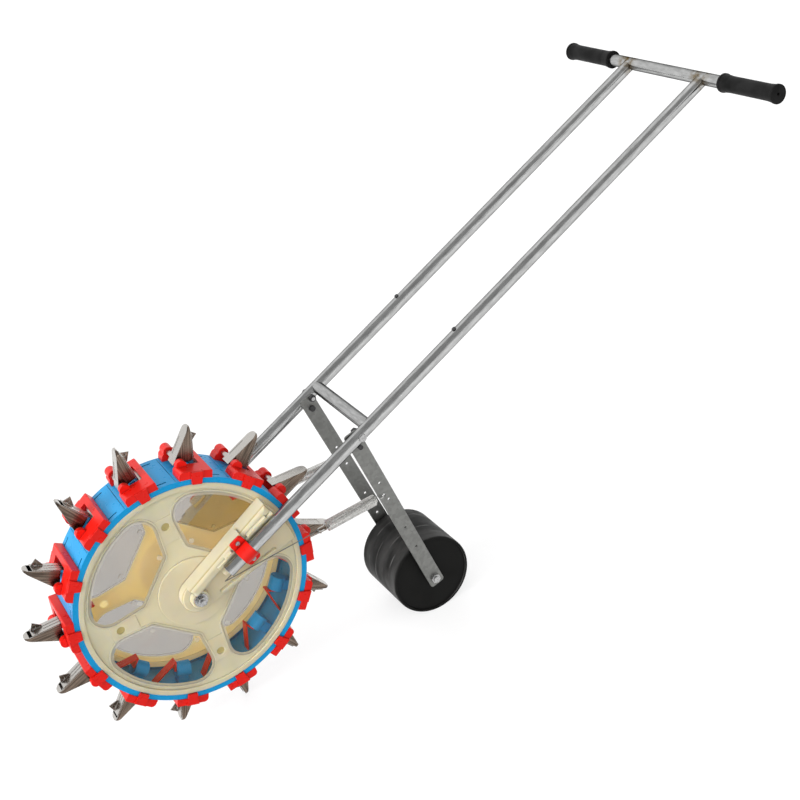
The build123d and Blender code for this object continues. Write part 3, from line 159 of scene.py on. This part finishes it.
class Paint:
    """A procedural material with one Principled shader and short ways to add texture nodes."""

    def __init__(self, name, colour, roughness, metallic=0.0):
        self.material = bpy.data.materials.new(name)
        self.material.use_nodes = True
        self.tree = self.material.node_tree
        self.shader = self.tree.nodes["Principled BSDF"]
        self.shader.inputs["Base Color"].default_value = (*colour, 1)
        self.shader.inputs["Roughness"].default_value = roughness
        self.shader.inputs["Metallic"].default_value = metallic

    def node(self, kind, **values):
        """A new node with some of its sockets set."""
        node = self.tree.nodes.new(kind)
        for name, value in values.items():
            node.inputs[name].default_value = value
        return node

    def link(self, source, target):
        """A link from an output to an input."""
        self.tree.links.new(source, target)

    def feed(self, name, source):
        """A link from an output to an input of the shader."""
        self.link(source, self.shader.inputs[name])

    def math(self, operation, *sources):
        """A sum on one or two values, each an output or a plain number."""
        node = self.tree.nodes.new("ShaderNodeMath")
        node.operation = operation
        for socket, source in zip(node.inputs, sources):
            if isinstance(source, bpy.types.NodeSocket):
                self.link(source, socket)
            else:
                socket.default_value = source
        return node.outputs["Value"]

    def coordinates(self, scale=(1, 1, 1), turn=(0, 0, 0)):
        """Object coordinates, turned and then scaled."""
        place = self.node("ShaderNodeTexCoord")
        turned = self.node("ShaderNodeMapping", Rotation=turn)
        scaled = self.node("ShaderNodeMapping", Scale=scale)
        self.link(place.outputs["Object"], turned.inputs["Vector"])
        self.link(turned.outputs["Vector"], scaled.inputs["Vector"])
        return scaled.outputs["Vector"]

    def axes(self, vector):
        """The three parts of a vector, by name."""
        node = self.tree.nodes.new("ShaderNodeSeparateXYZ")
        self.link(vector, node.inputs["Vector"])
        return node.outputs

    def vector(self, x, y, z):
        """A vector from its three parts."""
        node = self.tree.nodes.new("ShaderNodeCombineXYZ")
        self.link(x, node.inputs["X"])
        self.link(y, node.inputs["Y"])
        self.link(z, node.inputs["Z"])
        return node.outputs["Vector"]

    def across(self):
        """The distance from the mid plane, to the far side."""
        return self.axes(self.coordinates())["Y"]

    def sideways(self):
        """How far a face turns to the far side, from -1 to 1."""
        face = self.tree.nodes.new("ShaderNodeNewGeometry")
        return self.axes(face.outputs["Normal"])["Y"]

    def noise(self, scale, detail=4.0, stretch=(1, 1, 1), turn=(0, 0, 0)):
        """Noise over the object's own coordinates."""
        node = self.node("ShaderNodeTexNoise", Scale=scale, Detail=detail)
        self.link(self.coordinates(stretch, turn), node.inputs["Vector"])
        return node.outputs["Fac"]

    def rays(self, scale, along):
        """Noise drawn out along the spokes of the drum."""
        centred = self.node("ShaderNodeMapping", Location=-AXLE)
        self.link(self.coordinates(), centred.inputs["Vector"])
        place = self.axes(centred.outputs["Vector"])
        reach = self.tree.nodes.new("ShaderNodeVectorMath")
        reach.operation = "LENGTH"
        self.link(centred.outputs["Vector"], reach.inputs[0])
        turn = self.math("ARCTAN2", place["Z"], place["X"])
        drawn = self.math("MULTIPLY", reach.outputs["Value"], along)
        node = self.node("ShaderNodeTexNoise", Scale=scale, Detail=3.0)
        self.link(self.vector(turn, place["Y"], drawn), node.inputs["Vector"])
        return node.outputs["Fac"]

    def ramp(self, source, low, high, start=0.35, end=0.65):
        """A colour or grey ramp between two values."""
        node = self.tree.nodes.new("ShaderNodeValToRGB")
        node.color_ramp.elements[0].position = start
        node.color_ramp.elements[1].position = end
        node.color_ramp.elements[0].color = (*low, 1)
        node.color_ramp.elements[1].color = (*high, 1)
        self.link(source, node.inputs["Fac"])
        return node.outputs["Color"]

    def span(self, source, start, end, low=0.0, high=1.0):
        """A value that runs from low to high while its source runs from start to end."""
        node = self.tree.nodes.new("ShaderNodeMapRange")
        node.inputs["From Min"].default_value = start
        node.inputs["From Max"].default_value = end
        node.inputs["To Max"].default_value = high
        if isinstance(low, bpy.types.NodeSocket):
            self.link(low, node.inputs["To Min"])
        else:
            node.inputs["To Min"].default_value = low
        self.link(source, node.inputs["Value"])
        return node.outputs["Result"]

    def mix(self, factor, first, second):
        """A texture's colour mixed with a plain one by a factor."""
        node = self.tree.nodes.new("ShaderNodeMix")
        node.data_type = "RGBA"
        self.link(factor, node.inputs[0])
        self.link(first, node.inputs[6])
        node.inputs[7].default_value = (*second, 1)
        return node.outputs[2]

    def vary_roughness(self, source, low, high):
        """Roughness between two values, from a noise."""
        self.feed("Roughness", self.span(source, 0.3, 0.7, low, high))

    def edges(self, radius, sharp=0.12):
        """A mask that is 1 along the edges of the solid and 0 on its faces."""
        bevel = self.node("ShaderNodeBevel", Radius=radius)
        face = self.tree.nodes.new("ShaderNodeNewGeometry")
        turn = self.tree.nodes.new("ShaderNodeVectorMath")
        turn.operation = "DOT_PRODUCT"
        self.link(bevel.outputs["Normal"], turn.inputs[0])
        self.link(face.outputs["Normal"], turn.inputs[1])
        return self.ramp(turn.outputs["Value"], WHITE, BLACK, 1 - sharp, 0.995)

    def weld(self):
        """A blotched mask round the two welds that hold the handlebar."""
        place = self.axes(self.coordinates())
        gap = self.tree.nodes.new("ShaderNodeVectorMath")
        gap.operation = "DISTANCE"
        gap.inputs[1].default_value = WELD
        folded = self.vector(place["X"], self.math("ABSOLUTE", place["Y"]), place["Z"])
        self.link(folded, gap.inputs[0])
        near = self.span(gap.outputs["Value"], STAIN_REACH, STAIN_HEART)
        blotches = self.ramp(self.noise(90, detail=3), BLACK, WHITE, 0.38, 0.6)
        return self.math("MULTIPLY", near, blotches)

    def painted_crevice_shade(self, colour, reach, dark):
        """A base colour with painted shade, darker in slots, seams and corners where shade falls."""
        # Painted shade: ambient occlusion darkens the base colour where shade falls.
        node = self.node("ShaderNodeAmbientOcclusion", Distance=reach)
        node.samples = 8
        shade = self.ramp(node.outputs["AO"], (dark, dark, dark), WHITE, 0.1, 0.75)
        product = self.tree.nodes.new("ShaderNodeMix")
        product.data_type = "RGBA"
        product.blend_type = "MULTIPLY"
        product.inputs[0].default_value = 1.0
        self.link(colour, product.inputs[6])
        self.link(shade, product.inputs[7])
        return product.outputs[2]

    def bump(self, source, strength, distance, edge=0.0):
        """Relief from a texture, over edges rounded by a small radius."""
        node = self.node("ShaderNodeBump", Strength=strength, Distance=distance)
        self.link(source, node.inputs["Height"])
        if edge:
            bevel = self.node("ShaderNodeBevel", Radius=edge)
            self.link(bevel.outputs["Normal"], node.inputs["Normal"])
        self.feed("Normal", node.outputs["Normal"])


def scaled(colour, factor):
    """A colour made darker or lighter."""
    return tuple(min(1.0, channel * factor) for channel in colour)


def tube_steel(name, stretch):
    """Galvanised tube with a drawn grain, and stained round its welds."""
    paint = Paint(name, TUBE, 0.24, metallic=1.0)
    paint.shader.inputs["Specular Tint"].default_value = (*TUBE_EDGE, 1)
    grain = paint.noise(1.0, detail=6, stretch=stretch, turn=HANDLE_TURN)
    streaks = paint.ramp(grain, scaled(TUBE, 0.78), scaled(TUBE, 1.15), 0.3, 0.75)
    paint.feed("Base Color", paint.mix(paint.weld(), streaks, WELD_STAIN))
    paint.vary_roughness(paint.noise(60, detail=5), 0.15, 0.26)
    paint.bump(paint.noise(420), strength=0.05, distance=0.0003)
    return paint.material


def plastic_paint(name, colour, roughness, edge, reach=0.008, dark=0.12):
    """Moulded plastic: its paint and its base colour, with painted shade in slots, seams and corners."""
    paint = Paint(name, colour, roughness)
    paint.shader.inputs["Specular IOR Level"].default_value = PLASTIC_GLOSS
    clouds = paint.ramp(paint.noise(14, detail=3), scaled(colour, 0.92), colour)
    paint.vary_roughness(paint.noise(90), roughness * 0.85, roughness * 1.2)
    paint.bump(paint.noise(20, detail=2), strength=0.015, distance=0.0006, edge=edge)
    return paint, paint.painted_crevice_shade(clouds, reach, dark)


def plastic(name, colour, edge):
    """Opaque moulded plastic, with painted shade in slots, seams and corners."""
    paint, tone = plastic_paint(name, colour, 0.3, edge)
    paint.feed("Base Color", tone)
    return paint.material


def cream_plastic():
    """Translucent moulded plastic, whose inner faces get a painted glow for the light that comes through it, and
    whose recess floors get painted shade.
    """
    paint, tone = plastic_paint("cream_plastic", CREAM, 0.38, edge=0.0015, reach=0.005, dark=0.35)
    paint.shader.inputs["Subsurface Weight"].default_value = 0.85
    paint.shader.inputs["Subsurface Radius"].default_value = (1.0, 0.75, 0.4)
    paint.shader.inputs["Subsurface Scale"].default_value = 0.011
    # Painted glow: emission on the faces that look into the drum, which stands in for light coming through the
    # plastic.
    outward = paint.math("MULTIPLY", paint.across(), paint.sideways())
    paint.feed("Emission Strength", paint.span(outward, -PLATE_INSIDE, -ARM_INSIDE, high=INNER_PAINTED_GLOW))
    paint.shader.inputs["Emission Color"].default_value = (*CREAM_PAINTED_GLOW, 1)
    # Painted shade: the recess floors get a darker colour, as if shaded by the recess walls.
    above = paint.span(outward, 0.0, RECESS_FLOOR - 0.002)
    below = paint.span(outward, WEB_FACE - 0.001, RECESS_FLOOR + 0.001)
    floor = paint.math("MULTIPLY", above, below)
    paint.feed("Base Color", paint.mix(floor, tone, CREAM_RECESS_SHADE))
    return paint.material


def clear_plastic():
    """Thin clear sheet with a film of dust, less clear along its raised bead and painted pale there as a painted
    sheen, and duller on the far side.
    """
    paint = Paint("clear_plastic", FILM_THIN, 0.08)
    raised = paint.span(paint.math("ABSOLUTE", paint.across()), BEAD_FOOT, BEAD_TOP)
    dust = paint.ramp(paint.noise(26, detail=6), FILM_THIN, FILM_THICK)
    # The bead's pale colour is a painted sheen.
    paint.feed("Base Color", paint.mix(raised, dust, BEAD_SHEEN))
    film = paint.span(paint.across(), -WEB_FACE, WEB_FACE, NEAR_FILM, FAR_FILM)
    paint.feed("Alpha", paint.span(raised, 0.0, 1.0, film, BEAD_FILM))
    paint.vary_roughness(paint.noise(30), 0.04, 0.16)
    return paint.material


def hardware_steel(name, colour, roughness, metallic=1.0):
    """Steel of screws, nuts and wires."""
    paint = Paint(name, colour, roughness, metallic)
    paint.feed("Base Color", paint.ramp(paint.noise(240), scaled(colour, 0.75), scaled(colour, 1.1)))
    paint.vary_roughness(paint.noise(400, detail=3), roughness * 0.8, roughness * 1.3)
    paint.bump(paint.noise(700, detail=2), strength=0.08, distance=0.0002, edge=0.0005)
    return paint.material


def beak_steel():
    """Sheet steel, browned on its side walls, with a painted highlight on the faces of its ridges and along its
    folded edges.
    """
    paint = Paint("beak_steel", BEAK_WALL, 0.25, metallic=1.0)
    streaks = paint.rays(130, along=0.12)
    tone = paint.ramp(streaks, scaled(BEAK_WALL, 0.5), scaled(BEAK_WALL, 1.9), 0.36, 0.7)
    # Painted highlight: faces that turn neither to the near nor to the far side get a bright silver colour.
    ridge_highlight = paint.ramp(paint.math("ABSOLUTE", paint.sideways()), WHITE, BLACK, 0.2, 0.6)
    tone = paint.mix(ridge_highlight, tone, BEAK_RIDGE_HIGHLIGHT)
    # Painted highlight along the folded edges.
    paint.feed("Base Color", paint.mix(paint.edges(0.0013), tone, BEAK_EDGE_HIGHLIGHT))
    paint.vary_roughness(paint.noise(90, detail=5), 0.2, 0.34)
    paint.bump(paint.noise(300, detail=3), strength=0.05, distance=0.0002, edge=0.0008)
    return paint.material


def bar_steel():
    """Dull galvanised strip with a fine spangle."""
    paint = Paint("bar_steel", BAR, 0.45, metallic=0.9)
    spangle = paint.node("ShaderNodeTexVoronoi", Scale=150.0)
    paint.link(paint.coordinates(), spangle.inputs["Vector"])
    tone = paint.ramp(spangle.outputs["Color"], scaled(BAR, 0.9), scaled(BAR, 1.08), 0.2, 0.8)
    paint.feed("Base Color", tone)
    paint.vary_roughness(paint.noise(50), 0.38, 0.52)
    paint.bump(paint.noise(500, detail=3), strength=0.06, distance=0.0002, edge=0.0005)
    return paint.material


def grip_rubber():
    """Black rubber with a fine grain."""
    roughness = 0.5
    paint = Paint("black_grip", GRIP, roughness)
    paint.shader.inputs["Specular IOR Level"].default_value = RUBBER_GLOSS
    paint.feed("Base Color", paint.ramp(paint.noise(40), scaled(GRIP, 0.7), scaled(GRIP, 1.8)))
    paint.vary_roughness(paint.noise(80), roughness * 0.85, roughness * 1.15)
    paint.bump(paint.noise(1400, detail=2), strength=0.15, distance=0.0003, edge=0.001)
    return paint.material


def roller_plastic():
    """Black plastic with dust and worn rings round its tread, and plain end discs."""
    paint = Paint("roller_plastic", ROLLER, 0.45)
    paint.shader.inputs["Specular IOR Level"].default_value = RUBBER_GLOSS
    dust = paint.ramp(paint.noise(9, detail=8, stretch=(1, 3, 1)), ROLLER, ROLLER_DUST, 0.38, 0.78)
    rings = paint.node("ShaderNodeTexWave", Scale=RING_PITCH, Distortion=0.6, Detail=2.0)
    rings.bands_direction = "Y"
    paint.link(paint.coordinates(), rings.inputs["Vector"])
    lines = paint.ramp(rings.outputs["Fac"], BLACK, WHITE, 0.93, 0.99)
    patches = paint.ramp(paint.noise(30), BLACK, WHITE, 0.45, 0.7)
    tread = paint.mix(paint.math("MULTIPLY", lines, patches), dust, ROLLER_SCUFF)
    end = paint.math("ABSOLUTE", paint.sideways())
    paint.feed("Base Color", paint.mix(end, tread, ROLLER))
    paint.vary_roughness(paint.noise(25, detail=6), 0.34, 0.62)
    paint.bump(paint.noise(160, detail=6), strength=0.2, distance=0.0005, edge=0.0015)
    return paint.material


FINISHES = {
    "galvanised_tube": tube_steel("galvanised_tube", (40, 170, 170)),
    "cross_steel": tube_steel("cross_steel", (170, 40, 170)),
    "black_grip": grip_rubber(),
    "cream_plastic": cream_plastic(),
    "red_plastic": plastic("red_plastic", RED, edge=0.0012),
    "blue_plastic": plastic("blue_plastic", BLUE, edge=0.0008),
    "clear_plastic": clear_plastic(),
    "zinc_steel": hardware_steel("zinc_steel", ZINC, 0.26),
    "wire_steel": hardware_steel("wire_steel", WIRE, 0.35),
    "spring_steel": hardware_steel("spring_steel", SPRING, 0.28),
    "black_steel": hardware_steel("black_steel", BLACKENED, 0.38, metallic=0.8),
    "beak_steel": beak_steel(),
    "bar_steel": bar_steel(),
    "roller_plastic": roller_plastic(),
}
NODE_FINISH = {entry["node"]: entry["material_slot"] for entry in frame["record"]["subparts"]}
NODE_FINISH.update({"cross_tube": "cross_steel", "handlebar": "cross_steel"})
NODE_FINISH.update({"tie_wire_near": "wire_steel", "tie_wire_far": "wire_steel"})


def paint_nodes():
    """Each CAD node gets its own finish."""
    for name, node in nodes.items():
        node.data.materials.clear()
        node.data.materials.append(FINISHES[NODE_FINISH[name]])


def spring_points():
    """The coil's centre line in its own axes: x to the side, z from the ring to the hook."""
    length = (HOOK_POINT - RING_POINT).length - 2 * HOOK_HEIGHT
    leg = HOOK_HEIGHT - SPRING_HOOK
    hook = [
        (0, (SPRING_RADIUS + SPRING_HOOK) / 2, 0.0009),
        (-SPRING_HOOK * 0.8, SPRING_HOOK * 0.8, 0.0016),
        (-SPRING_HOOK, 0.003, 0.0024),
        (-SPRING_HOOK, 0.0008, 0.0034),
        (-SPRING_HOOK, 0, HOOK_RISE),
        (-SPRING_HOOK, 0, leg),
    ]
    bends = 12
    for step in range(1, bends):
        angle = math.pi * (1 - step / bends)
        hook.append((SPRING_HOOK * math.cos(angle), 0, leg + SPRING_HOOK * math.sin(angle)))
    hook.append((SPRING_HOOK, 0, leg))
    hook.append((SPRING_HOOK, 0, leg - HOOK_TAIL))
    steps = 20 * SPRING_TURNS
    coil = []
    for step in range(steps + 1):
        angle = 2 * math.pi * SPRING_TURNS * step / steps
        x = SPRING_RADIUS * math.cos(angle)
        y = SPRING_RADIUS * math.sin(angle)
        coil.append((x, y, length * step / steps))
    ring_end = [(x, -y, -z) for x, y, z in reversed(hook)]
    hook_end = [(x, y, z + length) for x, y, z in hook]
    return ring_end + coil + hook_end


def make_spring(side):
    """A tension spring, on the near side or mirrored to the far side."""
    along = (HOOK_POINT - RING_POINT).normalized()
    across = Vector((0, -1, 0)) - along * -along.y
    across.normalize()
    aslant = along.cross(across)
    start = RING_POINT + along * HOOK_HEIGHT
    curve = bpy.data.curves.new(f"spring_coil_{side}", "CURVE")
    curve.dimensions = "3D"
    curve.bevel_depth = SPRING_WIRE
    curve.bevel_resolution = 2
    curve.use_fill_caps = True
    spline = curve.splines.new("POLY")
    points = spring_points()
    spline.points.add(len(points) - 1)
    flip = -1 if side == "far" else 1
    for point, (x, y, z) in zip(spline.points, points):
        place = start + across * x + aslant * y + along * z
        point.co = (place.x, place.y * flip, place.z, 1)
    source = bpy.data.objects.new(f"spring_curve_{side}", curve)
    bpy.context.scene.collection.objects.link(source)
    bpy.context.view_layer.update()
    graph = bpy.context.evaluated_depsgraph_get()
    mesh = bpy.data.meshes.new_from_object(source.evaluated_get(graph))
    bpy.data.objects.remove(source)
    spring = bpy.data.objects.new(f"spring_coil_{side}", mesh)
    bpy.context.scene.collection.objects.link(spring)
    mesh.materials.clear()
    mesh.materials.append(FINISHES["spring_steel"])
    for polygon in mesh.polygons:
        polygon.use_smooth = True
    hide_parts(f"spring_{side}")
    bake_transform(spring)


def seen_directly(tree):
    """1 for rays from the camera, from a gloss or through clear plastic, and 0 for diffuse light."""
    path = tree.nodes.new("ShaderNodeLightPath")
    value = path.outputs["Is Camera Ray"]
    for name in ("Is Glossy Ray", "Is Transmission Ray"):
        most = tree.nodes.new("ShaderNodeMath")
        most.operation = "MAXIMUM"
        tree.links.new(value, most.inputs[0])
        tree.links.new(path.outputs[name], most.inputs[1])
        value = most.outputs["Value"]
    return value


def make_sheet(name, corners):
    """A flat sheet for the studio, with a shader that has no gloss and can shine white."""
    mesh = bpy.data.meshes.new(name)
    mesh.from_pydata(corners, [], [(0, 1, 2, 3)])
    sheet = bpy.data.objects.new(name, mesh)
    bpy.context.scene.collection.objects.link(sheet)
    material = bpy.data.materials.new(f"{name}_paint")
    material.use_nodes = True
    mesh.materials.append(material)
    shader = material.node_tree.nodes["Principled BSDF"]
    shader.inputs["Specular IOR Level"].default_value = 0.0
    shader.inputs["Emission Color"].default_value = (*WHITE, 1)
    return sheet, shader


def make_floor():
    """A plain white floor that keeps the planter's shadow."""
    half = FLOOR_HALF
    corners = [(-half, -half, 0), (half, -half, 0), (half, half, 0), (-half, half, 0)]
    floor, shader = make_sheet("floor", corners)
    shader.inputs["Base Color"].default_value = (FLOOR_TONE, FLOOR_TONE, FLOOR_TONE, 1)
    shader.inputs["Roughness"].default_value = 0.9
    tree = shader.id_data
    lift = tree.nodes.new("ShaderNodeMath")
    lift.operation = "MULTIPLY"
    lift.inputs[1].default_value = FLOOR_LIFT
    tree.links.new(seen_directly(tree), lift.inputs[0])
    tree.links.new(lift.outputs["Value"], shader.inputs["Emission Strength"])


def make_card():
    """A grey card above the camera, which only glossy surfaces show."""
    facing = CARD_FROM.normalized()
    across = facing.cross(Vector((0, 0, 1))).normalized()
    upward = across.cross(facing)
    corners = [facing * CARD_DISTANCE + across * x + upward * y for x, y in CARD_CORNERS]
    card, shader = make_sheet("card", corners)
    shader.inputs["Base Color"].default_value = (*BLACK, 1)
    shader.inputs["Emission Strength"].default_value = CARD_TONE
    for rays in ("camera", "diffuse", "transmission", "volume_scatter", "shadow"):
        setattr(card, f"visible_{rays}", False)


def make_world():
    """Even white light all round, which shows as plain white behind the planter."""
    world = bpy.data.worlds.new("studio")
    world.use_nodes = True
    tree = world.node_tree
    background = tree.nodes["Background"]
    background.inputs["Color"].default_value = (*WHITE, 1)
    strength = tree.nodes.new("ShaderNodeMapRange")
    strength.inputs["To Min"].default_value = SKY_LIGHT
    strength.inputs["To Max"].default_value = 1.0
    tree.links.new(seen_directly(tree), strength.inputs["Value"])
    tree.links.new(strength.outputs["Result"], background.inputs["Strength"])
    bpy.context.scene.world = world


def make_lights():
    """A key from the left, a broad fill, a broad light behind, and a glint for glossy surfaces alone."""
    for name, power, spread, source in LAMPS:
        sun = bpy.data.lights.new(name, "SUN")
        sun.energy = power
        sun.angle = math.radians(spread)
        lamp = bpy.data.objects.new(name, sun)
        lamp.rotation_euler = source.to_track_quat("Z", "Y").to_euler()
        lamp.visible_diffuse = name != "glint"
        lamp.visible_glossy = name == "glint"
        bpy.context.scene.collection.objects.link(lamp)


make_camera()
paint_nodes()
make_spring("near")
make_spring("far")
make_floor()
make_card()
make_world()
make_lights()
bpy.context.scene.view_settings.view_transform = "Standard"
